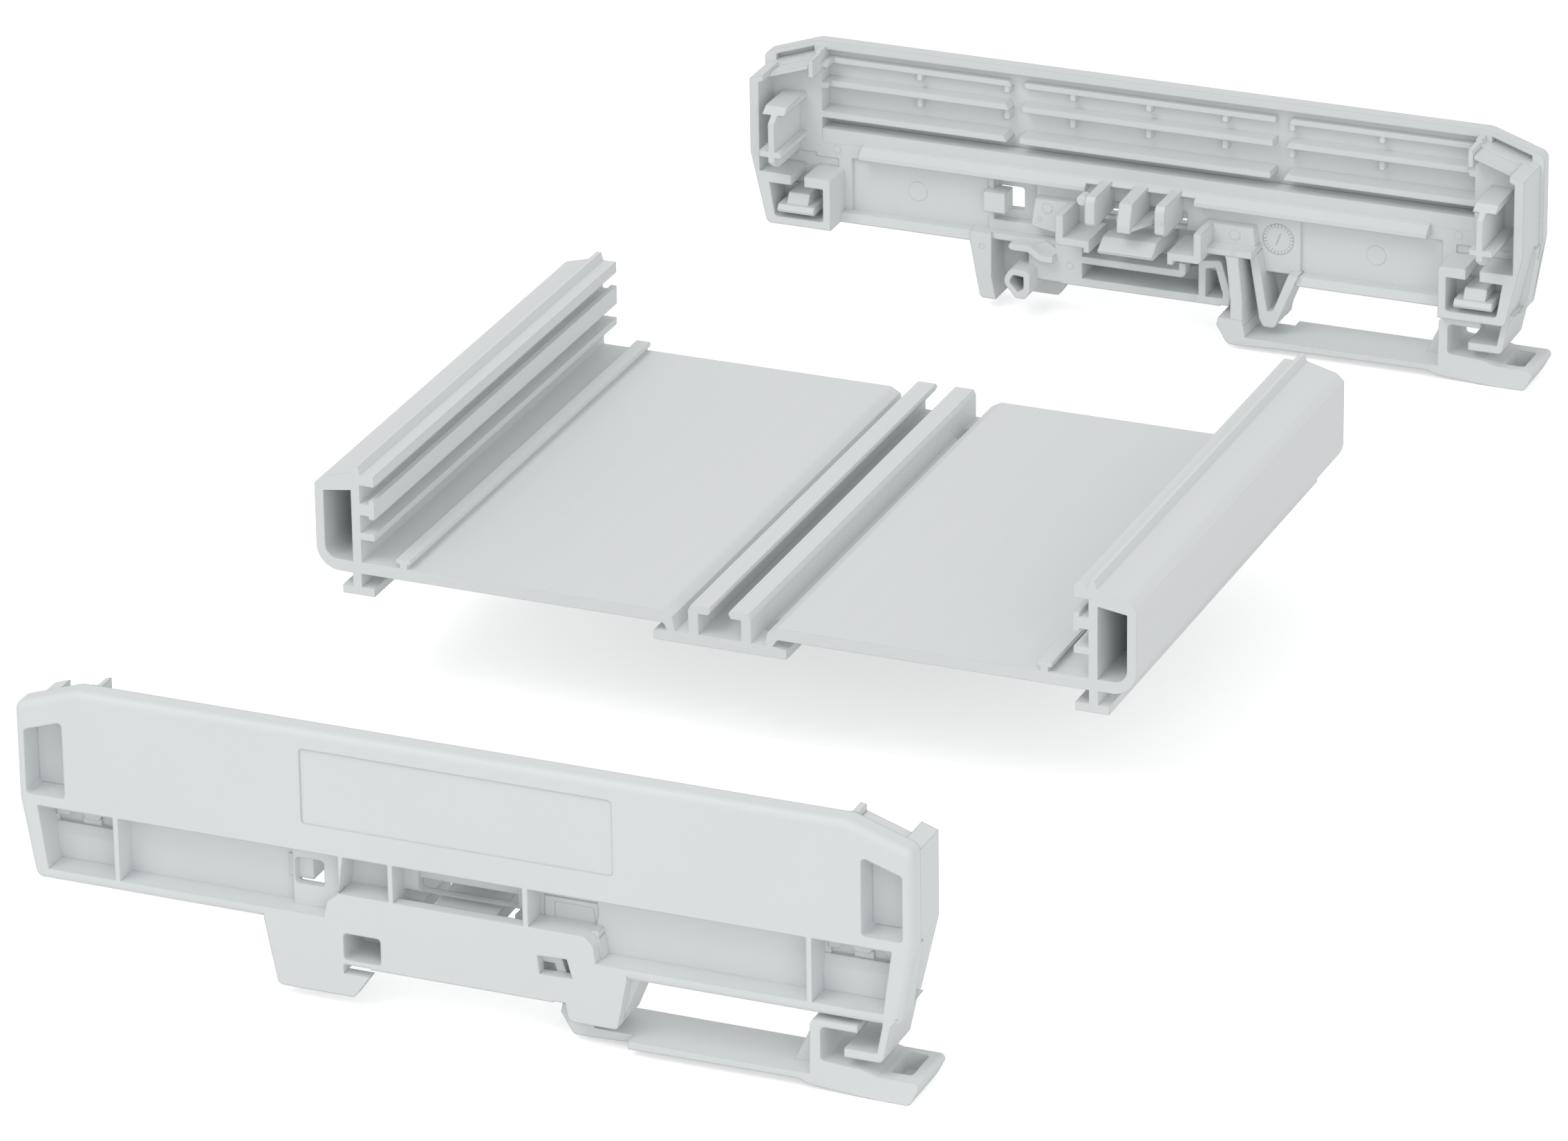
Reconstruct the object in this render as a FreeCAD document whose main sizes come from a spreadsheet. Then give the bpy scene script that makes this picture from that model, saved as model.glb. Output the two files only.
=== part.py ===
import FreeCAD, Part
import Sketcher
import math
import os

# DIN rail enclosure for a 35 mm top-hat rail, pulled apart along its length.
# X runs across the tray, Y along the extrusion, Z up. Millimetres.
# z = 0 is the underside of the latch handles.

os.makedirs("parts", exist_ok=True)
Vec = FreeCAD.Vector
doc = FreeCAD.newDocument("din_rail_enclosure")

SIZES = {
    "profile_length": 96.0,
    "profile_half": 69.0,
    "profile_lift": 21.9,
    "wall": 1.5,
    "floor_plate": 2.0,
    "side_half": 71.6,
    "side_top": 44.0,
    "band_low": 24.4,
    "bottom_line": 12.2,
    "rail_seat": 6.7,
    "rail_left": -18.8,
    "skin_depth": 1.8,
    "rim_depth": 3.5,
    "recess_depth": 4.0,
    "seat_depth": 5.6,
    "foot_depth": 8.0,
    "latch_depth": 10.4,
    "wrap_depth": 12.3,
    "lip_depth": 8.0,
    "prong_depth": 15.2,
    "pin_depth": 17.4,
    "pulled_out": 147.0,
}

sheet = doc.addObject("Spreadsheet::Sheet", "sizes")
for number, (alias, size) in enumerate(SIZES.items(), start=1):
    sheet.set("A%d" % number, alias)
    sheet.set("B%d" % number, str(size))
    sheet.setAlias("B%d" % number, alias)
doc.recompute()


def term(entry):
    # A number, a size name, a "-name", or a tuple of them that is added up.
    if isinstance(entry, (int, float)):
        return float(entry), None
    parts = entry if isinstance(entry, tuple) else (entry,)
    total = 0.0
    words = []
    for part in parts:
        if isinstance(part, str):
            sign = -1.0 if part.startswith("-") else 1.0
            name = part.lstrip("-")
            total += sign * SIZES[name]
            words.append(("-" if sign < 0 else "+") + " sizes." + name)
        else:
            total += part
            words.append("%+.6f" % part)
    return total, "0 " + " ".join(words)


def minus(entry):
    if isinstance(entry, (int, float)):
        return -entry
    parts = entry if isinstance(entry, tuple) else (entry,)
    out = []
    for part in parts:
        if isinstance(part, str):
            out.append(part[1:] if part.startswith("-") else "-" + part)
        else:
            out.append(-part)
    return tuple(out)


def shifted(text, number, plus):
    if text is None:
        return number + plus, None
    return number + plus, text + " %+.6f" % plus


def loop_geometry(loop, geometry, rules, bindings):
    # Straight sides with sharp or rounded corners, every point fixed from the origin.
    count = len(loop)
    nodes = []
    for corner in loop:
        u, u_text = term(corner[0])
        v, v_text = term(corner[1])
        radius = corner[2] if len(corner) > 2 else 0.0
        nodes.append((u, v, u_text, v_text, radius))
    pieces = []
    for index in range(count):
        u, v, u_text, v_text, radius = nodes[index]
        if radius <= 0:
            pieces.append(("point", (u, u_text), (v, v_text)))
            continue
        before = nodes[index - 1]
        after = nodes[(index + 1) % count]
        a = Vec(before[0] - u, before[1] - v, 0).normalize()
        b = Vec(after[0] - u, after[1] - v, 0).normalize()
        angle = a.getAngle(b)
        reach = radius / math.tan(angle / 2)
        centre = Vec(u, v, 0) + (a + b).normalize() * (radius / math.sin(angle / 2))
        first = (shifted(u_text, u, a.x * reach)[::1], shifted(v_text, v, a.y * reach))
        last = (shifted(u_text, u, b.x * reach), shifted(v_text, v, b.y * reach))
        left_turn = a.cross(b).z < 0
        pieces.append(("arc", first, last, centre, radius, left_turn))
    base = len(geometry)
    ends = []
    starts = []
    here = base
    fixed = []
    total = len(pieces)
    for index in range(total):
        piece = pieces[index]
        follow = pieces[(index + 1) % total]
        if piece[0] == "arc":
            first, last, centre, radius, left_turn = piece[1:]
            s = Vec(first[0][0], first[1][0], 0)
            e = Vec(last[0][0], last[1][0], 0)
            s_angle = math.atan2(s.y - centre.y, s.x - centre.x)
            e_angle = math.atan2(e.y - centre.y, e.x - centre.x)
            if not left_turn:
                s_angle, e_angle = e_angle, s_angle
            if e_angle <= s_angle:
                e_angle += 2 * math.pi
            circle = Part.Circle(centre, Vec(0, 0, 1), radius)
            geometry.append(Part.ArcOfCircle(circle, s_angle, e_angle))
            s_pos = 1 if left_turn else 2
            e_pos = 3 - s_pos
            starts.append((here, s_pos))
            ends.append((here, e_pos))
            fixed.append((here, s_pos, first))
            fixed.append((here, e_pos, last))
            rules.append(Sketcher.Constraint("Radius", here, radius))
            here += 1
            a = last
        else:
            a = (piece[1], piece[2])
        b = follow[1] if follow[0] == "arc" else (follow[1], follow[2])
        p = Vec(a[0][0], a[1][0], 0)
        q = Vec(b[0][0], b[1][0], 0)
        geometry.append(Part.LineSegment(p, q))
        starts.append((here, 1))
        ends.append((here, 2))
        if piece[0] == "point":
            fixed.append((here, 1, a))
        here += 1
    for index in range(len(starts)):
        g, pos = ends[index]
        h, start = starts[(index + 1) % len(starts)]
        rules.append(Sketcher.Constraint("Coincident", g, pos, h, start))
    for g, pos, point in fixed:
        for kind, (number, text) in zip(("DistanceX", "DistanceY"), point):
            if text is not None:
                bindings.append((len(rules), text))
            rules.append(Sketcher.Constraint(kind, -1, 1, g, pos, number))


def sketch(body, name, role, offset, loops):
    item = body.newObject("Sketcher::SketchObject", name)
    plane = [f for f in body.Origin.OriginFeatures if f.Role == role][0]
    item.AttachmentSupport = [(plane, "")]
    item.MapMode = "FlatFace"
    number, text = term(offset)
    item.AttachmentOffset = FreeCAD.Placement(Vec(0, 0, number), FreeCAD.Rotation())
    if text is not None:
        item.setExpression("AttachmentOffset.Base.z", text)
    geometry = []
    rules = []
    bindings = []
    for loop in loops:
        loop_geometry(loop, geometry, rules, bindings)
    item.addGeometry(geometry)
    item.addConstraint(rules)
    for index, text in bindings:
        item.setExpression("Constraints[%d]" % index, text)
    item.Visibility = False
    return item


def span(low, high):
    lows = low if isinstance(low, tuple) else (low,)
    highs = high if isinstance(high, tuple) else (high,)
    back = minus(lows)
    return highs + (back if isinstance(back, tuple) else (back,))


def pad(body, name, low, high, loops, role="XZ_Plane"):
    # XZ looks along -Y, so its sketch lies at the deep end; the others lie at the low end.
    at = minus(high) if role == "XZ_Plane" else low
    outline = sketch(body, name + "_outline", role, at, loops)
    item = body.newObject("PartDesign::Pad", name)
    item.Profile = outline
    number, text = term(span(low, high))
    item.Length = number
    item.Refine = False
    if text is not None:
        item.setExpression("Length", text)
    return item


def cut(body, name, low, high, loops, role="XZ_Plane"):
    # A pocket runs against the sketch normal.
    at = minus(low) if role == "XZ_Plane" else high
    outline = sketch(body, name + "_outline", role, at, loops)
    item = body.newObject("PartDesign::Pocket", name)
    item.Profile = outline
    number, text = term(span(low, high))
    item.Length = number
    item.Refine = False
    if text is not None:
        item.setExpression("Length", text)
    return item


def flip(loop):
    return [(minus(c[0]),) + tuple(c[1:]) for c in reversed(loop)]


def both(*loops):
    return list(loops) + [flip(loop) for loop in loops]


def box(x0, x1, z0, z1, r=0):
    return [(x0, z0, r), (x1, z0, r), (x1, z1, r), (x0, z1, r)]


def new_body(name):
    body = doc.addObject("PartDesign::Body", name)
    body.Label = name
    body.AllowCompound = True
    return body


# Base profile.
# Half of the extruded section, x >= 0, then mirrored.
tray = new_body("base_profile")
tray.Placement = FreeCAD.Placement(Vec(0, 0, SIZES["profile_lift"]), FreeCAD.Rotation())
tray.setExpression("Placement.Base.z", "sizes.profile_lift")
HALF = "profile_half"
PLATE = "floor_plate"
section = [
    (0, -1.2), (3.6, -1.2), (3.6, 2.35), (1.9, 2.35), (1.5, 3.1), (1.7, 3.6), (4.9, 3.6),
    (5.3, 2.8), (5.3, -1.2), (7.55, -1.2), (8.05, 1.05), (9.7, PLATE, 0.8),
    (53.3, PLATE), (53.3, 2.8), (52.8, 2.8), (52.8, 3.5), (55.2, 3.5), (55.2, 2.8), (54.6, 2.8),
    (54.6, PLATE), (61.2, PLATE), (61.2, 5.9), (58.8, 5.9), (58.8, 7.1), (61.2, 7.1),
    (61.2, 10.1), (59.7, 10.1), (59.7, 9.6), (58.7, 9.6), (58.7, 12.8), (59.7, 12.8), (59.7, 12.1),
    (61.2, 12.1), (61.2, 15.2), (58.7, 15.2), (58.7, 17.05), (61.0, 17.05), (61.35, 18.4),
    (62.2, 18.4), (62.6, 17.2), (67.8, 15.8, 1.2), (HALF, 14.6), (HALF, 0, 4.0),
    (62.8, 0), (62.8, -2.3), (64.6, -2.3), (64.6, -3.7), (59.1, -3.7),
    (59.1, -2.3), (61.3, -2.3), (61.3, 0), (9.6, 0, 0.8), (8.9, -1.2), (11.2, -1.6),
    (11.2, -3.1), (0, -3.1),
]
cavity = [
    (62.7, PLATE), ((HALF, "-wall"), PLATE, 2.2), ((HALF, "-wall"), 13.5), (62.7, 14.2),
]
pad(tray, "section_half", ("-profile_length",), 0, [section, cavity])
half = tray.Tip
mirror = tray.newObject("PartDesign::Mirrored", "section_mirrored")
mirror.Originals = [half]
yz = [f for f in tray.Origin.OriginFeatures if f.Role == "YZ_Plane"][0]
mirror.MirrorPlane = (yz, [""])
tray.Tip = mirror
# Rounded snap holes in both channel floors near both ends.
cut(tray, "snap_holes", -4.0, 0.0,
    both(box(5.4, 7.4, -10.0, -5.0, 0.9), box(5.4, 7.4, -91.0, -86.0, 0.9)), role="XY_Plane")
tray.setExpression("Placement.Base.y", "sizes.profile_length / 2")


# Side element.
# Depths run inwards from the outer face at y = 0; the body is then placed at the front.
side = new_body("side_shell")
TOP = "side_top"
EDGE = "side_half"
BAND = "band_low"
LINE = "bottom_line"
SEAT = "rail_seat"
SKIN = "skin_depth"
RIM = "rim_depth"
BACK = "seat_depth"
FOOT = "foot_depth"
WRAP = "wrap_depth"
REC = "recess_depth"
LIP = "lip_depth"
RELIEF = ("rail_seat", 0.2)

upper_loop = [
    ("-side_half", 25.2, 2.0), (-69.4, LINE, 1.5), (69.4, LINE, 1.5), (EDGE, 25.2, 2.0),
    (EDGE, 40.6, 1.5), (61.6, TOP, 3.0), (-61.6, TOP, 3.0), ("-side_half", 40.6, 1.5),
]
pad(side, "skin", 0, SKIN, [upper_loop])
skin = side.Tip
doc.recompute()
front_edges = []
for number, edge in enumerate(skin.Shape.Edges, start=1):
    if edge.BoundBox.YMax < 0.001:
        front_edges.append("Edge%d" % number)
rounding = side.newObject("PartDesign::Fillet", "outer_rounding")
rounding.Base = (skin, front_edges)
rounding.Radius = 1.2
rounding.Refine = False
foot_loop = [
    (-31.6, 12.6), (-31.6, LINE), (-29.6, 1.7, 1.0), (-17.2, 1.7, 0.6), (-14.6, 5.4),
    ("rail_left", 5.4), ("rail_left", RELIEF), (-14.4, RELIEF), (-14.4, SEAT), (15.0, SEAT), (15.0, RELIEF),
    (16.9, RELIEF), (17.4, 4.0, 1.0), (25.2, 4.0, 0.8), (26.8, LINE), (26.8, 14.2), (-31.6, 14.2),
]
pad(side, "foot_skin", 0, SKIN, [foot_loop])

# Rim, corner blocks and lower frame, as deep as the tray's end seat.
rim_loop = [
    ("-side_half", 25.2, 2.0), (-70.9, 21.75), (-61.0, 21.75), (-61.0, (TOP, -1.5)), (61.0, (TOP, -1.5)),
    (61.0, 21.75), (70.9, 21.75), (EDGE, 25.2, 2.0), (EDGE, 40.6, 1.5), (61.6, TOP, 3.0),
    (-61.6, TOP, 3.0), ("-side_half", 40.6, 1.5),
]
pad(side, "rim", SKIN, RIM, [rim_loop])
corner = [
    (61.0, BAND), (70.9, BAND), (70.9, 38.8), (61.0, 42.2),
]
pad(side, "corner_blocks", RIM, BACK, both(corner))
frame = [
    (-69.4, LINE, 1.5), (69.4, LINE, 1.5), (71.2, BAND), (61.0, 26.0), (-61.0, 26.0), (-71.2, BAND),
]
pad(side, "lower_frame", SKIN, BACK, [frame])

# Hollows behind the foot skin: middle, latch leg, V block.
cut(side, "foot_hollows", SKIN, BACK, [
    box(-10.4, 10.4, 12.3, 18.9), [(15.4, 11.9), (20.2, 11.9), (20.2, 17.2), (15.0, 17.2)],
    [(21.9, 11.9), (27.0, 11.9), (27.2, 13.4), (21.9, 13.4)],
])

# Recesses seen from outside.
cut(side, "recess_left", 0, REC, [[(-55.1, 14.2), (-27.8, 14.2), (-27.8, BAND), (-55.1, BAND)]])
cut(side, "recess_right", 0, REC, [[
    (21.9, 14.2), (55.1, 14.2), (55.1, BAND), (18.0, BAND), (18.0, 18.4),
    (20.2, 18.4, 1.2), (21.6, 17.0, 1.2),
]])
cut(side, "recess_ends", 0, (BACK, -0.6), both([(56.0, 14.2), (67.0, 14.2), (68.4, BAND), (56.0, BAND)]))
cut(side, "block_face", 0, 2.6, [[
    (-27.8, 14.2), (-21.8, 14.2), (-21.2, 16.8, 1.0), (-19.2, 18.4, 1.0), (-19.2, BAND), (-27.8, BAND),
]])
cut(side, "block_inner", 3.9, BACK, [[(-27.8, 16.0), (-19.8, 16.0), (-19.8, BAND), (-27.8, BAND)]])
cut(side, "block_window", 0, BACK, [box(-27.4, -22.7, 17.7, 21.9, 0.6)])
cut(side, "pocket_left", 0, 4.4, [[(-19.2, 18.4), (-11.2, 18.4), (-11.2, BAND), (-18.4, BAND)]])
cut(side, "pocket_right", 0, 4.6, [[(11.3, 18.4), (20.4, 18.4), (20.8, 20.4), (20.4, BAND), (11.3, BAND)]])
cut(side, "pocket_centre", 0, REC, [box(-10.4, 10.4, 18.4, BAND)])
cut(side, "window_centre", 0, BACK, [box(-8.0, 8.0, 19.0, 22.4, 0.6)])
cut(side, "corner_pockets", 0, (BACK, -0.7), both([
    (63.8, 26.2, 0.6), (70.1, 26.2, 0.6), (70.1, 36.6, 0.6), (63.8, 38.7, 0.6),
]))
cut(side, "label_field", 0, 0.25, [box(-24.9, 24.9, 28.9, 41.0, 0.6)])
cut(side, "clip_windows", 0, BACK, both([
    (57.0, 20.0), (67.4, 20.0), (67.4, 23.2), (64.8, 23.2), (64.8, 23.9), (61.2, 23.9),
    (61.2, 23.2), (57.0, 23.2),
]))

cut(side, "foot_windows", 0, SKIN, [
    box(-18.7, -12.7, 7.7, 12.0, 0.6), [(12.9, 11.0), (18.1, 11.1), (17.3, 14.1), (12.6, 13.9)],
])
cut(side, "corner_slits", SKIN, BACK, both([(62.2, 42.9), (62.2, 41.85), (69.4, 39.4), (69.4, 40.45)]))

# Inside ribs on the upper plate.
ROWS = ((1, 39.9, 41.0, 3.0), (2, 36.0, 37.2, 4.3), (3, 30.6, 31.8, BACK))
for number, low, high, reach in ROWS:
    row = [(25.4, low), (60.0, low), (60.0, high), (26.0, high)]
    bend = [(59.0, low), (60.6, low), (60.6, high), (58.6, high)]
    pad(side, "rib_row_%d" % number, SKIN, reach, both(row) + [box(-23.1, 23.1, low, high)])
    pad(side, "rib_bend_%d" % number, SKIN, BACK, both(bend))
pad(side, "end_posts", SKIN, BACK, both(box(60.0, 61.2, 25.5, 43.0)))
pad(side, "post_tips", BACK, 9.6, both([(60.0, 39.3), (60.9, 39.3), (60.9, 42.4), (60.0, 42.6)]))

# Lip over the floor plate, panel behind it, and the bottom wall.
for name, low, high in (("lip_right", 10.0, 52.3), ("lip_left", -52.3, -10.0)):
    pad(side, name, low, high, [[
        (4.4, BAND), (LIP, BAND), (LIP, 25.2), (6.4, 26.4), (4.4, 26.6),
    ]], role="YZ_Plane")
pad(side, "lip_centre", -10.0, 10.0, [[(4.4, 25.7), (7.4, 25.7), (6.4, 26.4), (4.4, 26.6)]], role="YZ_Plane")
for name, low, high in (("bottom_wall_right", 28.6, 56.2), ("bottom_wall_left", -56.2, -31.2)):
    pad(side, name, low, high, [[(4.4, LINE), (7.6, LINE), (7.0, 13.9), (4.4, 13.9)]], role="YZ_Plane")
cut(side, "panel_faces", 5.0, BACK, [box(28.8, 54.4, 13.9, 23.6), box(-54.4, -28.8, 13.9, 23.6)])
tabs = []
for at in (-42.5, -14.0, 0.0, 14.0, 42.5):
    tabs.append(box(at - 0.5, at + 0.5, 38.9, 39.95))
    tabs.append(box(at - 0.5, at + 0.5, 34.0, 36.05))
for at in (26.2, -26.2):
    tabs.append(box(at - 0.5, at + 0.5, 38.9, 39.95))
    tabs.append(box(at - 0.5, at + 0.5, 34.0, 36.05))
pad(side, "rib_tabs", SKIN, 3.4, tabs)

# Foot: walls behind the skin.
foot = new_body("side_foot")
hook_wall = [
    (-31.4, LINE), (-29.5, 1.9, 0.8), (-26.6, 1.9), (-27.4, 6.0), (-27.4, 14.2), (-31.4, 14.2),
]
pad(foot, "hook_leg_wall", SKIN, FOOT, [hook_wall])
pad(foot, "seat_wall", SKIN, FOOT, [[
    (-15.5, RELIEF), (-14.4, RELIEF), (-14.4, SEAT), (11.2, SEAT), (11.2, 8.2), (-10.5, 8.2), (-10.5, 14.4),
    (-15.5, 14.4),
]])
pad(foot, "shelf_wall", SKIN, FOOT, [[
    (-10.6, 11.0), (8.6, 11.0, 1.0), (8.6, 13.6), (7.4, 13.6), (7.4, 12.3), (-10.6, 12.3),
]])
stop_outer = [
    (11.0, SEAT), (15.0, SEAT), (15.0, RELIEF), (16.6, RELIEF), (17.0, 9.0), (15.1, 15.2, 0.8), (11.0, 14.6),
]
stop_inner = [(12.3, 8.1), (15.4, 8.1), (15.5, 9.0), (14.1, 13.7), (12.3, 13.3)]
pad(foot, "stop_tube", SKIN, FOOT, [stop_outer, stop_inner])
pad(foot, "blind_box", SKIN, FOOT, [[
    (-20.4, 7.8), (-18.8, RELIEF), (-14.8, RELIEF), (-14.8, 12.6), (-17.0, 14.2, 1.0), (-20.4, 12.6),
]])
cut(foot, "blind_window", 0, 6.6, [box(-18.7, -12.7, 7.7, 12.0, 0.6)])
pad(foot, "wavy_shelf", SKIN, 7.4, [[
    (-27.4, 13.0), (-23.0, 13.0), (-19.0, 12.0), (-15.4, 12.0), (-15.4, 14.2), (-27.4, 14.2),
]])
drop_outer = [
    (-18.9, 5.6, 1.2), (-18.9, 9.4, 1.0), (-22.6, 9.8, 1.8), (-24.0, 7.0, 1.8), (-21.6, 4.2, 1.0),
    (-19.8, 4.2, 0.8),
]
drop_inner = [(-20.1, 6.0), (-20.1, 8.3), (-22.2, 8.5, 0.8), (-22.8, 7.0, 0.8), (-21.2, 5.4)]
pad(foot, "drop_tube", SKIN, 11.4, [drop_outer, drop_inner])
ribbon = [
    (20.2, 17.4), (22.2, 5.4, 1.0), (22.9, 4.0, 0.6), (25.0, 4.0, 0.8), (29.2, 14.2), (27.4, 14.2),
    (24.6, 7.0, 0.8), (23.6, 7.0), (21.8, 17.4),
]
pad(foot, "v_ribbon", SKIN, FOOT, [ribbon])
# Wrap walls with the C boxes for the feet of the tray.
wraps = new_body("side_wraps")
wrap = [
    (55.9, LINE), (67.9, LINE, 1.0), (70.9, 25.2), (70.9, 38.84), (68.3, 39.73), (68.3, 38.61),
    (69.2, 38.3), (69.2, 21.75), (63.3, 21.75), (63.3, 19.8), (67.4, 19.8), (66.4, 13.6, 0.6),
    (57.3, 13.6, 0.6), (57.3, 19.8), (60.8, 19.8), (60.8, 21.75), (55.9, 21.75, 0.8),
]
pad(wraps, "wrap_walls", BACK, WRAP, both(wrap))
roof = [(61.0, 41.52), (61.0, 40.82), (69.4, 37.97), (69.4, 38.66)]
pad(wraps, "roof_lips", SKIN, 9.5, both(roof))
pad(wraps, "box_backs", 4.4, 6.4, both([(56.2, 13.0), (67.4, 13.0), (68.2, 17.9), (56.2, 17.9)]))

# Plug pins for the hollow edge boxes.
pin = [
    (64.2, 24.3), (65.4, 24.3), (65.4, 26.6), (67.1, 26.6), (67.1, 27.7), (65.4, 27.7), (65.4, 33.9),
    (67.1, 33.9), (67.1, 35.0), (63.0, 35.0), (63.0, 33.9), (64.2, 33.9), (64.2, 27.7), (63.0, 27.7),
    (63.0, 26.6), (64.2, 26.6),
]
pad(wraps, "plug_pins", 4.4, "pin_depth", both(pin))
cut(wraps, "pin_tip_top", -72.0, 72.0, [[(13.4, 35.5), (17.9, 35.5), (17.9, 32.6)]], role="YZ_Plane")
cut(wraps, "pin_tip_low", -72.0, 72.0, [[(15.0, 24.0), (17.9, 26.0), (17.9, 24.0)]], role="YZ_Plane")

# Snap fingers in the C boxes.
for name, low, high in (("right", 58.9, 65.7), ("left", -65.7, -58.9)):
    pad(wraps, "snap_plate_" + name, low, high, [[
        (4.4, 14.7), (12.6, 14.7), (13.0, 15.2), (12.4, 16.1), (4.4, 16.1),
    ]], role="YZ_Plane")
    pad(wraps, "snap_block_" + name, low + 1.4, high - 1.4, [[
        (6.0, 16.0), (12.0, 16.0), (10.9, 17.9), (6.0, 17.9),
    ]], role="YZ_Plane")

# Middle and latch root.
middle = new_body("side_middle")
pad(middle, "small_tab", 3.8, 7.6, [box(-29.0, -25.0, 18.0, 21.7)])
pad(middle, "tongue", 4.4, 7.4, [[
    (-20.2, 16.4, 0.6), (-15.6, 15.8), (-12.6, 17.0), (-12.6, 21.7), (-19.4, 21.7),
]])
pad(middle, "leg_root", 2.2, "latch_depth", [[(13.2, 17.2), (21.6, 17.2), (21.6, 18.4), (13.2, 18.4)]])
pad(middle, "leg_back", 4.4, 7.4, [[(13.2, 17.4), (21.2, 17.4), (20.8, 21.7), (13.2, 21.7)]])
cut(middle, "leg_back_pocket", 0, 6.2, [[(13.6, 18.4), (20.2, 18.4), (19.8, 20.9), (13.6, 20.9)]])

# Bottom hook that guides the latch.
guide = [
    (69.2, 13.6), (68.2, LINE), (66.9, 6.2, 1.0), (60.9, 6.2), (60.9, 7.6), (66.0, 7.6),
    (66.9, LINE), (66.9, 13.6),
]
pad(middle, "guide_hook", 0, "latch_depth", [guide])

# Middle: L walls, centre finger, prongs.
pad(middle, "l_walls", 4.4, 13.4, both([
    (12.0, 21.7), (12.0, 17.6), (7.2, 17.6), (7.2, 15.4), (8.2, 15.4), (8.2, 16.2),
    (13.4, 16.2, 0.8), (13.4, 21.7),
]))
pad(middle, "centre_finger", -5.0, 5.0, [[
    (1.0, 15.6), (14.6, 16.2), (15.2, 16.8), (12.4, 18.55), (9.4, 18.55), (8.0, 18.0), (1.0, 17.8),
]], role="YZ_Plane")
for name, low in (("prong_right", 5.5), ("prong_left", -7.3)):
    pad(middle, name, low, low + 1.8, [[
        (4.4, 22.5), (5.6, 21.0), (14.4, 21.0), ("prong_depth", 21.6), ("prong_depth", 25.6),
        (14.4, 26.4), (4.4, 26.4),
    ]], role="YZ_Plane")
pad(middle, "prong_middle", -1.2, 1.2, [[
    (4.4, 22.5), (5.6, 21.0), (15.8, 21.0), (15.8, 22.2), (14.6, 26.0), (4.4, 26.4),
]], role="YZ_Plane")
pad(middle, "prong_web", 21.0, 21.8, [[
    (-3.3, 5.6), (3.3, 5.6), (3.3, 10.6), (0.9, "prong_depth"), (-0.9, "prong_depth"), (-3.3, 10.6),
]], role="XY_Plane")
element = doc.addObject("Part::MultiFuse", "side_element_front")
element.Label = "side_element_front"
element.Shapes = [side, foot, wraps, middle]
element.Refine = True
element.Placement = FreeCAD.Placement(Vec(0, -SIZES["pulled_out"], 0), FreeCAD.Rotation())
element.setExpression("Placement.Base.y", "-sizes.pulled_out")


# Rail latch.
latch = new_body("rail_latch_front")
bar = [
    (26.8, 1.2), (53.6, 1.4), (55.4, 0.7), (63.0, 0.15), (66.0, 0.0), (71.0, 0.0, 1.2), (73.0, 3.9, 0.8),
    (66.0, 3.9), (63.6, 4.6), (57.2, 5.0, 0.6), (57.2, 10.4, 0.8), (63.0, 10.4), (63.0, 11.5),
    (55.6, 11.5, 1.0), (55.4, 2.5), (26.8, 2.5),
]
pad(latch, "bar_and_riser", 0, "latch_depth", [bar])
nose = [
    (26.9, 1.2), (19.6, 0.9), (17.2, 0.9, 1.0), (15.2, 4.2), (15.5, 5.6), (19.9, 5.6),
    (20.5, 2.5), (26.9, 2.5),
]
pad(latch, "nose", 2.2, "latch_depth", [nose])
pad(latch, "gusset", 3.6, 5.0, [[(51.6, 2.4), (55.7, 2.4), (55.7, 11.0)]])
cut(latch, "screwdriver_slot", 1.2, 6.0, [box(67.2, 70.6, 2.2, 9.0, 0.6)], role="XY_Plane")
latch.Placement = FreeCAD.Placement(Vec(0, -SIZES["pulled_out"], 0), FreeCAD.Rotation())
latch.setExpression("Placement.Base.y", "-sizes.pulled_out")

leg = new_body("latch_leg_front")
pad(leg, "leg", 2.2, "latch_depth", [[
    (16.7, 17.2), (17.6, 9.0), (17.6, 5.6), (19.9, 5.6), (19.9, 9.0), (19.0, 17.2),
]])
leg.Placement = FreeCAD.Placement(Vec(0, -SIZES["pulled_out"], 0), FreeCAD.Rotation())
leg.setExpression("Placement.Base.y", "-sizes.pulled_out")
doc.recompute()


# Rear end, mirrored.
def rear(source, name):
    item = doc.addObject("Part::Mirroring", name)
    item.Label = name
    item.Source = source
    item.Base = Vec(0, 0, 0)
    item.Normal = Vec(0, 1, 0)
    return item


parts = {
    "base_profile": tray,
    "side_element_front": element,
    "side_element_rear": rear(element, "side_element_rear"),
    "rail_latch_front": latch,
    "rail_latch_rear": rear(latch, "rail_latch_rear"),
    "latch_leg_front": leg,
    "latch_leg_rear": rear(leg, "latch_leg_rear"),
}
doc.recompute()
bad = []
for item in doc.Objects:
    if "Invalid" in item.State or "Error" in item.State:
        bad.append(item.Name)
        continue
    if item.isDerivedFrom("PartDesign::Feature"):
        if item.Shape.isNull() or not item.Shape.isValid():
            bad.append(item.Name + " shape")
if bad:
    raise RuntimeError("not rebuilt: " + ", ".join(bad))
for name, item in parts.items():
    shape = item.Shape
    if not shape.isValid() or len(shape.Solids) != 1:
        raise RuntimeError("%s: valid %s, solids %d" % (name, shape.isValid(), len(shape.Solids)))
    shape.exportStep("parts/%s.step" % name)
    bound = shape.BoundBox
    print("%-20s %10.1f mm3  x %.2f %.2f  y %.2f %.2f  z %.2f %.2f" % (
        name, shape.Volume, bound.XMin, bound.XMax, bound.YMin, bound.YMax, bound.ZMin, bound.ZMax))
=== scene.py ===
"""A DIN rail enclosure pulled apart: grey extruded tray, two moulded side elements with rail latches.

Pieces are worked out in millimetres, with x across the enclosure and z up. A depth runs inwards from
the outer face of a side element, and sign is -1 for the front element and 1 for the rear one.
"""

import math

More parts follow.
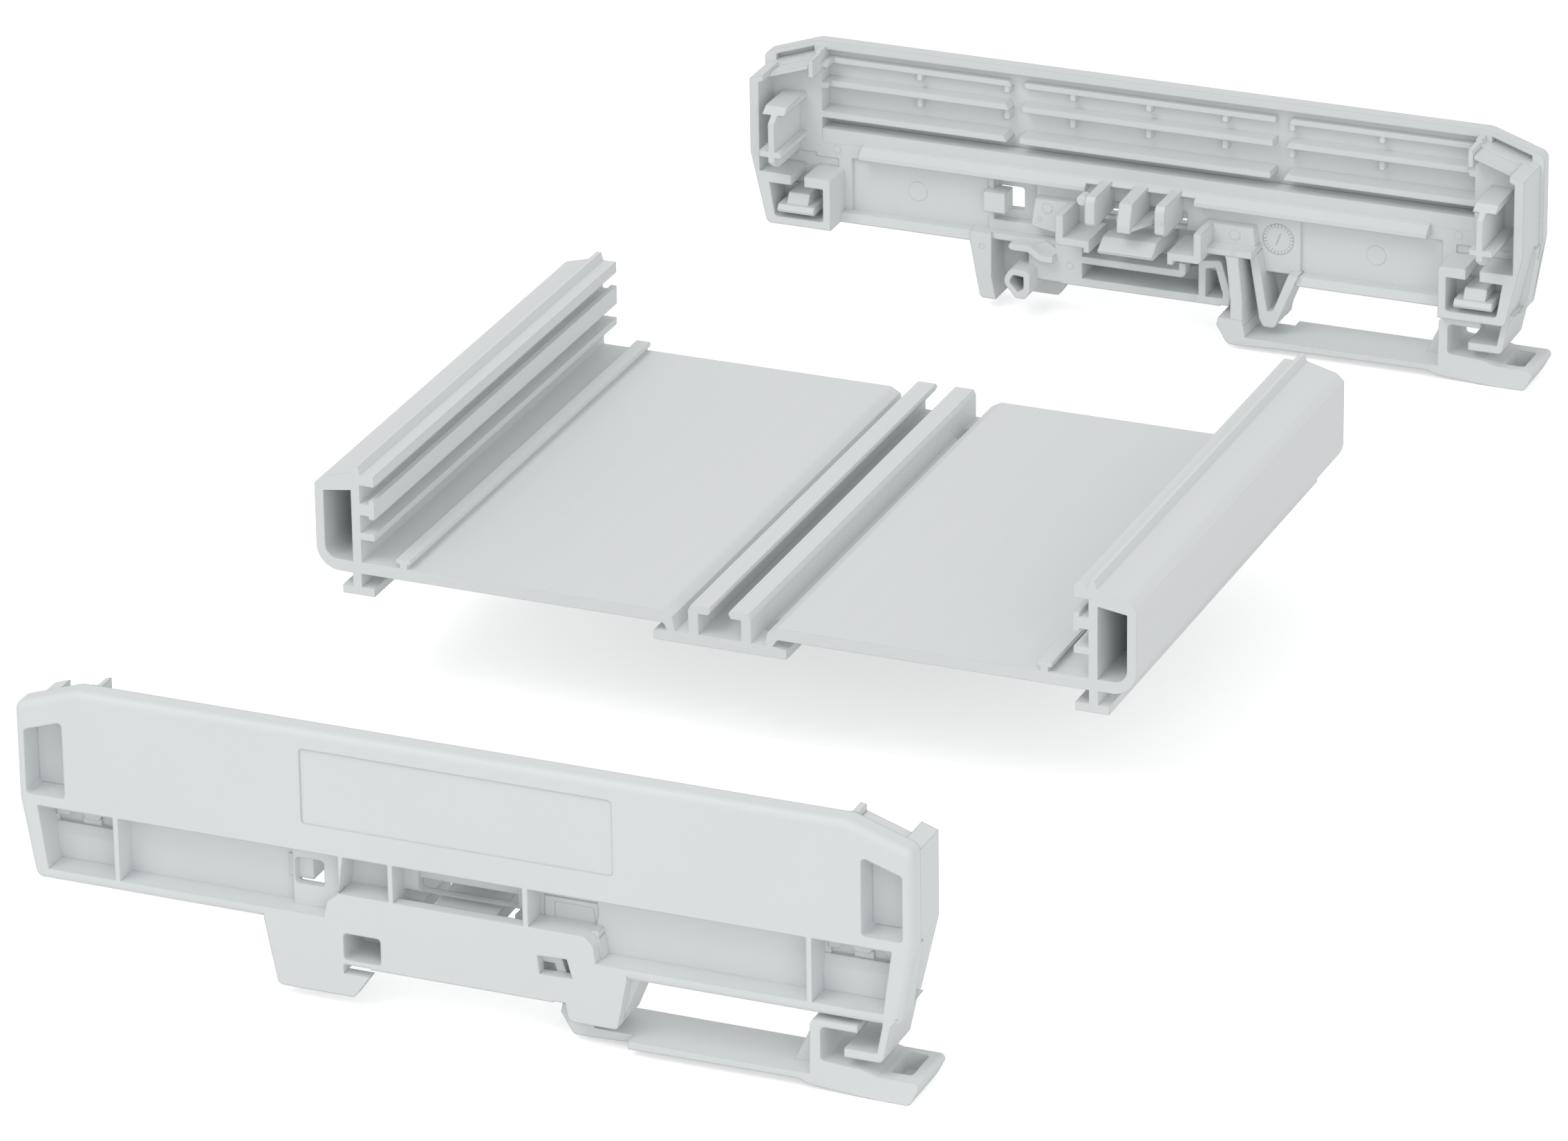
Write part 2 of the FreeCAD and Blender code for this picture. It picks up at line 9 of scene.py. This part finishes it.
import bmesh
import bpy
import numpy as np
from mathutils import Matrix, Vector


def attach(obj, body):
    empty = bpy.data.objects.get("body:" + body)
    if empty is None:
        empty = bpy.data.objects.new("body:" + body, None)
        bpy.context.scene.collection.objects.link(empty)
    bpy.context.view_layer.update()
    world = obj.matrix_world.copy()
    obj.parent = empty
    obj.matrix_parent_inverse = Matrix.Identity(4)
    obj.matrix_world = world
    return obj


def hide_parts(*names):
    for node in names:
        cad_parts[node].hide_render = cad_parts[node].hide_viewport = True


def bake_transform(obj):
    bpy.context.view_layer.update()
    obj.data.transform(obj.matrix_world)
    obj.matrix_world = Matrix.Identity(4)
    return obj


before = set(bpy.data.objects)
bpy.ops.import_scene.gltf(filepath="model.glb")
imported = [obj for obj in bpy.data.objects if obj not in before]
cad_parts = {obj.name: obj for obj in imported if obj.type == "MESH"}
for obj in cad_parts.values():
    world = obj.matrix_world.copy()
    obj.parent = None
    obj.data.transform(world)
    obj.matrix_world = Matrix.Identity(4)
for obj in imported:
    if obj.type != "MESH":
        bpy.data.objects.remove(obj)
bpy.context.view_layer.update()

# The photograph's width in pixels, and the camera fitted to it, in metres and degrees.
PHOTO_WIDTH = 2268
CAMERA_AT = (0.5038, -1.2231, 0.6025)
CAMERA_YAW, CAMERA_PITCH, CAMERA_ROLL = 22.752, -24.045, -0.78
FOCAL_PX = 13069.0
SENSOR_MM = 36.0

# Plastic colours, linear, and the height of a full bump and the samples of a soft edge for both.
MOULDED = (0.755, 0.782, 0.789)
EXTRUDED = (0.775, 0.798, 0.805)
BUMP_HEIGHT = 0.0001
EDGE_SAMPLES = 6

# Stage: floor colour and its glow for the camera, the level of the world, and where the lamps aim.
WHITE = (1, 1, 1, 1)
FLOOR_GREY = (0.93, 0.93, 0.93, 1)
FLOOR_GLOW = 0.45
FLOOR_HALF_MM = 6000.0
WORLD_LEVEL = 0.67
LAMPS_AIM = Vector((0, 0, 0.02))

MM_PER_M = 1000.0
# From the middle of the enclosure to the outer face of a side element, in millimetres.
OUTER_FACE = 147.0

# Ejector pin marks on the inner faces: x, depth from the outer face, z and radius, in millimetres.
EJECTOR_MARKS = (
    (42.3, 5.0, 18.9, 1.85), (-42.3, 5.0, 18.9, 1.85), (57.2, 5.6, 25.0, 0.85), (-57.2, 5.6, 25.0, 0.85),
    (6.4, 15.2, 23.6, 0.60), (-17.2, 7.4, 20.2, 1.05), (-18.6, 7.4, 17.9, 0.50), (17.4, 7.4, 20.1, 1.05),
    (-12.8, 8.0, 10.2, 0.75), (10.1, 8.0, 7.45, 0.50), (18.2, 10.4, 17.8, 0.42), (-29.2, 8.0, 11.6, 0.60),
)


def node_material(name):
    """An empty material: the material, its tree and its output node."""
    material = bpy.data.materials.new(name)
    material.use_nodes = True
    tree = material.node_tree
    tree.nodes.clear()
    return material, tree, tree.nodes.new("ShaderNodeOutputMaterial")


def noise(tree, place, scale, detail):
    """Noise over the coordinates of the socket place, given as a socket."""
    node = tree.nodes.new("ShaderNodeTexNoise")
    node.inputs["Scale"].default_value = scale
    node.inputs["Detail"].default_value = detail
    tree.links.new(place, node.inputs["Vector"])
    return node.outputs["Fac"]


def moulded_noises(tree, place):
    """Face of an eroded mould: wide faint clouds for the shade, and a fine grain for the relief."""
    return noise(tree, place, 55.0, 2.0), noise(tree, place, 2600.0, 3.0)


def extruded_noises(tree, place):
    """Drawn face: one noise stretched along Y, as faint die lines, for the shade and the relief."""
    stretch = tree.nodes.new("ShaderNodeMapping")
    stretch.inputs["Scale"].default_value = (1.0, 0.012, 1.0)
    tree.links.new(place, stretch.inputs["Vector"])
    lines = noise(tree, stretch.outputs["Vector"], 900.0, 3.0)
    return lines, lines


def grey_plastic(name, noises, colour, shades, relief, edge_radius, roughness, specular):
    """Plastic whose colour goes with its shade noise from shades[0] to shades[1] times the given one.

    Its relief noise lifts a bump of the strength relief. The bump lies over a bevel shader, so that
    the edges catch a soft light as real ones of that radius, in metres, do.
    """
    material, tree, out = node_material(name)
    place = tree.nodes.new("ShaderNodeTexCoord").outputs["Object"]
    shade, grain = noises(tree, place)
    tint = tree.nodes.new("ShaderNodeMix")
    tint.data_type = "RGBA"
    for socket, factor in zip("AB", shades):
        tint.inputs[socket].default_value = (*[c * factor for c in colour], 1)
    bevel = tree.nodes.new("ShaderNodeBevel")
    bevel.samples = EDGE_SAMPLES
    bevel.inputs["Radius"].default_value = edge_radius
    bump = tree.nodes.new("ShaderNodeBump")
    bump.inputs["Strength"].default_value = relief
    bump.inputs["Distance"].default_value = BUMP_HEIGHT
    shader = tree.nodes.new("ShaderNodeBsdfPrincipled")
    shader.inputs["Roughness"].default_value = roughness
    shader.inputs["Specular IOR Level"].default_value = specular
    tree.links.new(shade, tint.inputs["Factor"])
    tree.links.new(tint.outputs["Result"], shader.inputs["Base Color"])
    tree.links.new(bevel.outputs["Normal"], bump.inputs["Normal"])
    tree.links.new(grain, bump.inputs["Height"])
    tree.links.new(bump.outputs["Normal"], shader.inputs["Normal"])
    tree.links.new(shader.outputs["BSDF"], out.inputs["Surface"])
    return material


moulded = grey_plastic("moulded_grey", moulded_noises, MOULDED, shades=(0.975, 1.02), relief=0.10,
                       edge_radius=0.0004, roughness=0.46, specular=0.35)
extruded = grey_plastic("extruded_grey", extruded_noises, EXTRUDED, shades=(0.985, 1.015), relief=0.05,
                        edge_radius=0.0002, roughness=0.40, specular=0.4)
for name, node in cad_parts.items():
    node.data.materials.clear()
    node.data.materials.append(extruded if name == "base_profile" else moulded)


def mesh_piece(name, points, faces, material):
    """An object at the origin, whose mesh has these points, in millimetres, and these faces."""
    mesh = bpy.data.meshes.new(name)
    mesh.from_pydata((points / MM_PER_M).tolist(), [], faces)
    mesh.materials.append(material)
    item = bpy.data.objects.new(name, mesh)
    bpy.context.scene.collection.objects.link(item)
    return item


def closed_mesh(name, solids):
    """One moulded piece from several closed solids.

    Each solid is an array of rings, shape (rings, points, 3), in millimetres: neighbouring rings are
    joined by quads, the first and the last ring are filled, and all faces are turned outwards.
    """
    points, faces, start = [], [], 0
    for rings in solids:
        count, around = rings.shape[:2]
        here = np.arange(around)
        after = (here + 1) % around
        this = start + np.arange(count - 1)[:, None] * around
        following = this + around
        quads = np.stack([this + here, this + after, following + after, following + here], axis=-1)
        faces += quads.reshape(-1, 4).tolist()
        faces += [(start + here[::-1]).tolist(), (start + here + (count - 1) * around).tolist()]
        points.append(rings.reshape(-1, 3))
        start += count * around
    item = mesh_piece(name, np.concatenate(points), faces, moulded)
    shell = bmesh.new()
    shell.from_mesh(item.data)
    bmesh.ops.recalc_face_normals(shell, faces=shell.faces)
    shell.to_mesh(item.data)
    shell.free()
    return item


def moulded_on(item, end):
    """The piece is part of one side element: it moves with it. Its plastic is the moulded one, given where
    its mesh is made.
    """
    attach(item, "side_" + end)


def slab(outline, near, far, sign):
    """Outline of (x, z) points carried straight from the depth near to the depth far."""
    flat = np.array(outline, float)
    depth = np.array([near, far], float)[:, None]
    return np.stack(np.broadcast_arrays(flat[:, 0], sign * (OUTER_FACE - depth), flat[:, 1]), axis=-1)


def rectangle(left, right, low, high):
    """Outline with straight sides at x left and right, and z low and high."""
    return [(left, low), (right, low), (right, high), (left, high)]


def both_sides(outline):
    """The outline, and the same one beyond the middle plane, x turned to minus x."""
    return [outline, [(-x, z) for x, z in outline]]


def turned_profile(x, z, reach, depth, around, sign):
    """Rings of a profile turned about an axis along Y.

    The ring of each profile point (r, depth) has its points at x + r cos t and z + r sin t, with the
    angle t going round once in equal steps, and all of them lie at that point's depth.
    """
    angle = np.linspace(0, 2 * math.pi, around, endpoint=False)
    reach, depth = reach[:, None], depth[:, None]
    return np.stack(np.broadcast_arrays(
        x + reach * np.cos(angle), sign * (OUTER_FACE - depth), z + reach * np.sin(angle)), axis=-1)


def rounded_sections(width, depth, radius, steps=5):
    """Rounded rectangles of several widths and one depth: the points across, one row for each width,
    and the points along, the same for all.

    Each has four quarter circles of one radius, whose middles are set in by it from the corners.
    """
    corner = np.repeat([(1, 1), (-1, 1), (-1, -1), (1, -1)], steps, axis=0)
    angle = (np.arange(4)[:, None] * math.pi / 2 + np.linspace(0, math.pi / 2, steps)).ravel()
    across = corner[:, 0] * (width[:, None] / 2 - radius) + radius * np.cos(angle)
    along = corner[:, 1] * (depth / 2 - radius) + radius * np.sin(angle)
    return across, along


def spring_leg(end, sign):
    """The leg that lets the latch give way.

    A rounded bar 8.0 mm deep is carried down from the side element to the latch nose. Its middle
    goes straight from x 17.85 to 18.75 in its upper two thirds and then plumb. Its width is 2.2 mm,
    and swells by an exponential flare towards both ends, as the fillets of a moulding do.
    """
    top, foot, inset, thick, deep, edge = 17.6, 4.5, 6.3, 2.2, 8.0, 0.22
    height = np.linspace(top, foot, 45)
    middle = 17.85 + 0.9 * np.clip((17.2 - height) / 8.2, 0, 1)
    width = thick + 1.3 * np.exp(-(top - height) / 0.45) + 0.7 * np.exp(-(height - foot) / 0.6)
    across, along = rounded_sections(width, deep, edge)
    rings = np.stack(np.broadcast_arrays(
        middle[:, None] + across, sign * (OUTER_FACE - inset + along), height[:, None]), axis=-1)
    leg = closed_mesh("spring_leg_" + end, [rings])
    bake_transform(leg)
    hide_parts("latch_leg_" + end)


def ejector_marks(end, sign):
    """Flat discs with a fine raised rim.

    Height over the face as a function of the radius r: 0.015 mm inside, a rim of 0.06 mm between
    R - 0.14 and R - 0.04, then down through the face at R. Each disc is that profile turned about
    its own axis, and all discs of one side element are one mesh.
    """
    around = 48
    here = np.arange(around)
    after = (here + 1) % around
    lift = np.array([0.015, 0.015, 0.06, 0.06, -0.03])
    points, faces, start = [], [], 0
    for x, depth, z, radius in EJECTOR_MARKS:
        reach = np.array([0.02, radius - 0.20, radius - 0.14, radius - 0.04, radius])
        rings = turned_profile(x, z, reach, depth + lift, around, sign)
        inner = start + np.arange(len(reach) - 1)[:, None] * around
        outer = inner + around
        quads = np.stack([inner + here, outer + here, outer + after, inner + after], axis=-1)
        middle = start + here
        if sign < 0:
            quads, middle = quads[..., ::-1], middle[::-1]
        faces += quads.reshape(-1, 4).tolist() + [middle.tolist()]
        points.append(rings.reshape(-1, 3))
        start += len(reach) * around
    moulded_on(mesh_piece("ejector_marks_" + end, np.concatenate(points), faces, moulded), end)


def pocket_floors(end, sign):
    """Smooth floors of the two corner pockets: the pocket's own outline, 0.06 mm over the bare floor."""
    flat = [(63.8, 26.2), (70.1, 26.2), (70.1, 36.6), (63.8, 38.7)]
    solids = [slab(shape, 4.34, 4.95, sign) for shape in both_sides(flat)]
    moulded_on(closed_mesh("corner_pocket_floors_" + end, solids), end)


def compartment_backs(end, sign):
    """Back walls of the two end compartments, with the sloped sill under the clip window.

    The profile across the depth is plumb at 4.34 mm up to z 18.2 and runs back to 4.92 mm at z 20.
    It is carried in x from 55.95 mm to the compartment's outer wall, whose x grows by 1.4 mm while
    z grows by 10.2 mm.
    """
    profile = np.array([(4.34, 14.15), (4.34, 18.2), (4.92, 20.0), (5.05, 20.0), (5.05, 14.15)])
    depth, z = profile.T
    inner = np.full_like(z, 55.95)
    outer = 67.1 + 1.4 * (z - 14.2) / 10.2
    solids = [np.stack(np.broadcast_arrays(side * np.stack([inner, outer]), sign * (OUTER_FACE - depth), z),
                       axis=-1) for side in (1, -1)]
    moulded_on(closed_mesh("end_compartment_backs_" + end, solids), end)


def toothed_plates(end, sign):
    """Toothed upper edges of the two clip windows, and the posts that close the gaps of the box roofs.

    A plate 0.55 mm thick has a lower edge that steps up and down between z 20.9 and 21.7, and a post
    is a plain block 0.42 mm thick.
    """
    flat = [(56.6, 24.2), (56.6, 21.0), (58.1, 21.0), (58.7, 21.7), (60.3, 21.7), (60.9, 20.9),
            (62.9, 20.9), (63.5, 21.6), (65.3, 21.6), (65.9, 21.0), (67.8, 21.0), (67.8, 24.2)]
    post = rectangle(60.5, 63.6, 19.85, 21.3)
    solids = [slab(shape, 4.85, 5.4, sign) for shape in both_sides(flat)]
    solids += [slab(shape, 5.2, 5.62, sign) for shape in both_sides(post)]
    moulded_on(closed_mesh("clip_window_edges_" + end, solids), end)


def window_header(end, sign):
    """Header of the middle window: a plate 0.6 mm thick across its upper edge, down to z 20.9."""
    plate = slab(rectangle(-8.3, 8.3, 20.9, 22.7), 4.6, 5.2, sign)
    moulded_on(closed_mesh("window_header_" + end, [plate]), end)


def wall_step(end, sign):
    """Thick lower wall under the third rib row: a straight bar up to z 28.6, 0.04 mm short of the
    inner face of the wall."""
    bar = slab(rectangle(-60.1, 60.1, 25.0, 28.6), 2.4, 5.56, sign)
    moulded_on(closed_mesh("wall_step_" + end, [bar]), end)


def wavy_ledge(end, sign):
    """S-shaped ledge beside the rail stop.

    Its middle line in (x, z) falls from z 13.0 to z 11.5 by a smooth step (half a cosine) between
    x -20.2 and -17.2. The plate is 1.3 mm thick, square to that line, with a half-round left end.
    """
    half_thick = 0.65
    x = np.linspace(-22.9, -15.3, 27)
    step = np.clip((x + 20.2) / 3.0, 0, 1)
    z = 13.0 - 0.75 * (1 - np.cos(math.pi * step))
    slope = np.gradient(z, x)
    square = np.stack([-slope, np.ones_like(slope)], axis=-1) / np.hypot(slope, 1)[:, None]
    line = np.stack([x, z], axis=-1)
    angle = np.linspace(math.pi / 2, 1.5 * math.pi, 9)[1:-1]
    round_end = line[0] + half_thick * np.stack([np.cos(angle), np.sin(angle)], axis=-1)
    outline = np.concatenate([(line + half_thick * square)[::-1], round_end, line - half_thick * square])
    moulded_on(closed_mesh("wavy_ledge_" + end, [slab(outline, 7.2, 9.7, sign)]), end)


def prong_boss(end, sign):
    """Ejector boss on the upper edge of the left prong.

    A round bar 2.3 mm long, radius 0.95 mm, with its front edge eased by a quarter circle of 0.25 mm.
    """
    easing = 0.25
    ease = np.linspace(0, math.pi / 2, 5)
    depth = np.concatenate([[12.4], 14.45 + easing * np.sin(ease)])
    reach = np.concatenate([[0.95], 0.70 + easing * np.cos(ease)])
    rings = turned_profile(-8.1, 25.45, reach, depth, 28, sign)
    moulded_on(closed_mesh("prong_boss_" + end, [rings]), end)


def radial_bar(centre, out, near, far, half_width):
    """Outline of a straight bar in the direction out, from near to far of the centre."""
    side = np.array([-out[1], out[0]]) * half_width
    return [centre + out * near - side, centre + out * far - side,
            centre + out * far + side, centre + out * near + side]


def mould_date_ring(end, sign):
    """Bare date insert of the mould: a raised ring with 24 radial ticks and a plain bar in the middle.

    The ring is a flat-topped band of radius 2.68 to 2.90 mm, in four closed quarters. The ticks are
    bars from 2.1 to 2.7 mm turned about the same centre, and all of it stands 0.06 mm over the face.
    """
    centre = np.array([24.7, 19.6])
    root, top = 5.55, 5.66
    around, quarter = 64, 16
    reach = np.array([2.68, 2.71, 2.87, 2.90, 2.90, 2.68])
    depth = np.array([5.63, top, top, 5.63, root, root])
    band = turned_profile(*centre, reach, depth, around, sign).transpose(1, 0, 2)
    bars = []
    for turn in np.arange(24) * math.pi / 12:
        out = np.array([math.cos(turn), math.sin(turn)])
        bars.append(radial_bar(centre, out, 2.10, 2.70, 0.08))
    bars.append(radial_bar(centre, np.array([0.34, 0.94]), -1.1, 1.1, 0.12))
    solids = [slab(bar, root, top, sign) for bar in bars]
    for first in range(0, around, quarter):
        solids.append(band[np.arange(first, first + quarter + 1) % around])
    moulded_on(closed_mesh("mould_date_ring_" + end, solids), end)


for end, sign in (("front", -1), ("rear", 1)):
    spring_leg(end, sign)
    ejector_marks(end, sign)
    pocket_floors(end, sign)
    compartment_backs(end, sign)
    toothed_plates(end, sign)
    window_header(end, sign)
    wall_step(end, sign)
    wavy_ledge(end, sign)
    prong_boss(end, sign)
    mould_date_ring(end, sign)


def pale_floor():
    """One large pale plane under the object. It glows a little for the camera alone, so that it is
    seen as plain white wherever no shadow falls."""
    material, tree, out = node_material("pale_floor")
    shader = tree.nodes.new("ShaderNodeBsdfDiffuse")
    shader.inputs["Color"].default_value = FLOOR_GREY
    glow = tree.nodes.new("ShaderNodeEmission")
    glow.inputs["Color"].default_value = WHITE
    path = tree.nodes.new("ShaderNodeLightPath")
    scale = tree.nodes.new("ShaderNodeMath")
    scale.operation = "MULTIPLY"
    scale.inputs[1].default_value = FLOOR_GLOW
    add = tree.nodes.new("ShaderNodeAddShader")
    tree.links.new(path.outputs["Is Camera Ray"], scale.inputs[0])
    tree.links.new(scale.outputs["Value"], glow.inputs["Strength"])
    tree.links.new(shader.outputs["BSDF"], add.inputs[0])
    tree.links.new(glow.outputs["Emission"], add.inputs[1])
    tree.links.new(add.outputs["Shader"], out.inputs["Surface"])
    corners = FLOOR_HALF_MM * np.array([(-1, -1, 0), (1, -1, 0), (1, 1, 0), (-1, 1, 0)])
    floor = mesh_piece("floor", corners, [(0, 1, 2, 3)], material)


def soft_world():
    """Even white surroundings at one level, which the camera alone sees as plain white."""
    world = bpy.data.worlds.new("studio")
    bpy.context.scene.world = world
    world.use_nodes = True
    tree = world.node_tree
    tree.nodes.clear()
    out = tree.nodes.new("ShaderNodeOutputWorld")
    path = tree.nodes.new("ShaderNodeLightPath")
    mix = tree.nodes.new("ShaderNodeMixShader")
    tree.links.new(path.outputs["Is Camera Ray"], mix.inputs["Fac"])
    for socket, level in ((1, WORLD_LEVEL), (2, 1.0)):
        light = tree.nodes.new("ShaderNodeBackground")
        light.inputs["Color"].default_value = WHITE
        light.inputs["Strength"].default_value = level
        tree.links.new(light.outputs["Background"], mix.inputs[socket])
    tree.links.new(mix.outputs["Shader"], out.inputs["Surface"])


def softbox(name, at, size, power):
    """A square lamp that aims at the middle of the object, in metres and watts."""
    lamp = bpy.data.lights.new(name, "AREA")
    lamp.shape = "SQUARE"
    lamp.size = size
    lamp.energy = power
    item = bpy.data.objects.new(name, lamp)
    bpy.context.scene.collection.objects.link(item)
    item.location = at
    item.rotation_euler = (LAMPS_AIM - Vector(at)).to_track_quat("-Z", "Y").to_euler()


def photo_camera():
    """Pinhole camera at the photograph's angle: yaw about Z, pitch, then roll about the line of sight."""
    yaw, pitch, roll = (math.radians(a) for a in (CAMERA_YAW, CAMERA_PITCH, CAMERA_ROLL))
    forward = Vector((-math.sin(yaw) * math.cos(pitch), math.cos(yaw) * math.cos(pitch), math.sin(pitch)))
    right = Vector((math.cos(yaw), math.sin(yaw), 0))
    up = right.cross(forward)
    rolled_right = right * math.cos(roll) + up * math.sin(roll)
    rolled_up = up * math.cos(roll) - right * math.sin(roll)
    camera = bpy.data.cameras.new("camera")
    camera.sensor_fit = "HORIZONTAL"
    camera.sensor_width = SENSOR_MM
    camera.lens = FOCAL_PX / PHOTO_WIDTH * SENSOR_MM
    camera.clip_start, camera.clip_end = 0.05, 60.0
    item = bpy.data.objects.new("camera", camera)
    bpy.context.scene.collection.objects.link(item)
    turn = Matrix((rolled_right, rolled_up, -forward)).transposed()
    item.matrix_world = Matrix.Translation(Vector(CAMERA_AT)) @ turn.to_4x4()
    bpy.context.scene.camera = item


pale_floor()
soft_world()
softbox("key", at=(-0.5, -0.9, 1.5), size=0.9, power=7.2)
softbox("fill", at=(1.2, -1.5, 0.75), size=1.0, power=4.8)
photo_camera()
bpy.context.scene.view_settings.view_transform = "Standard"
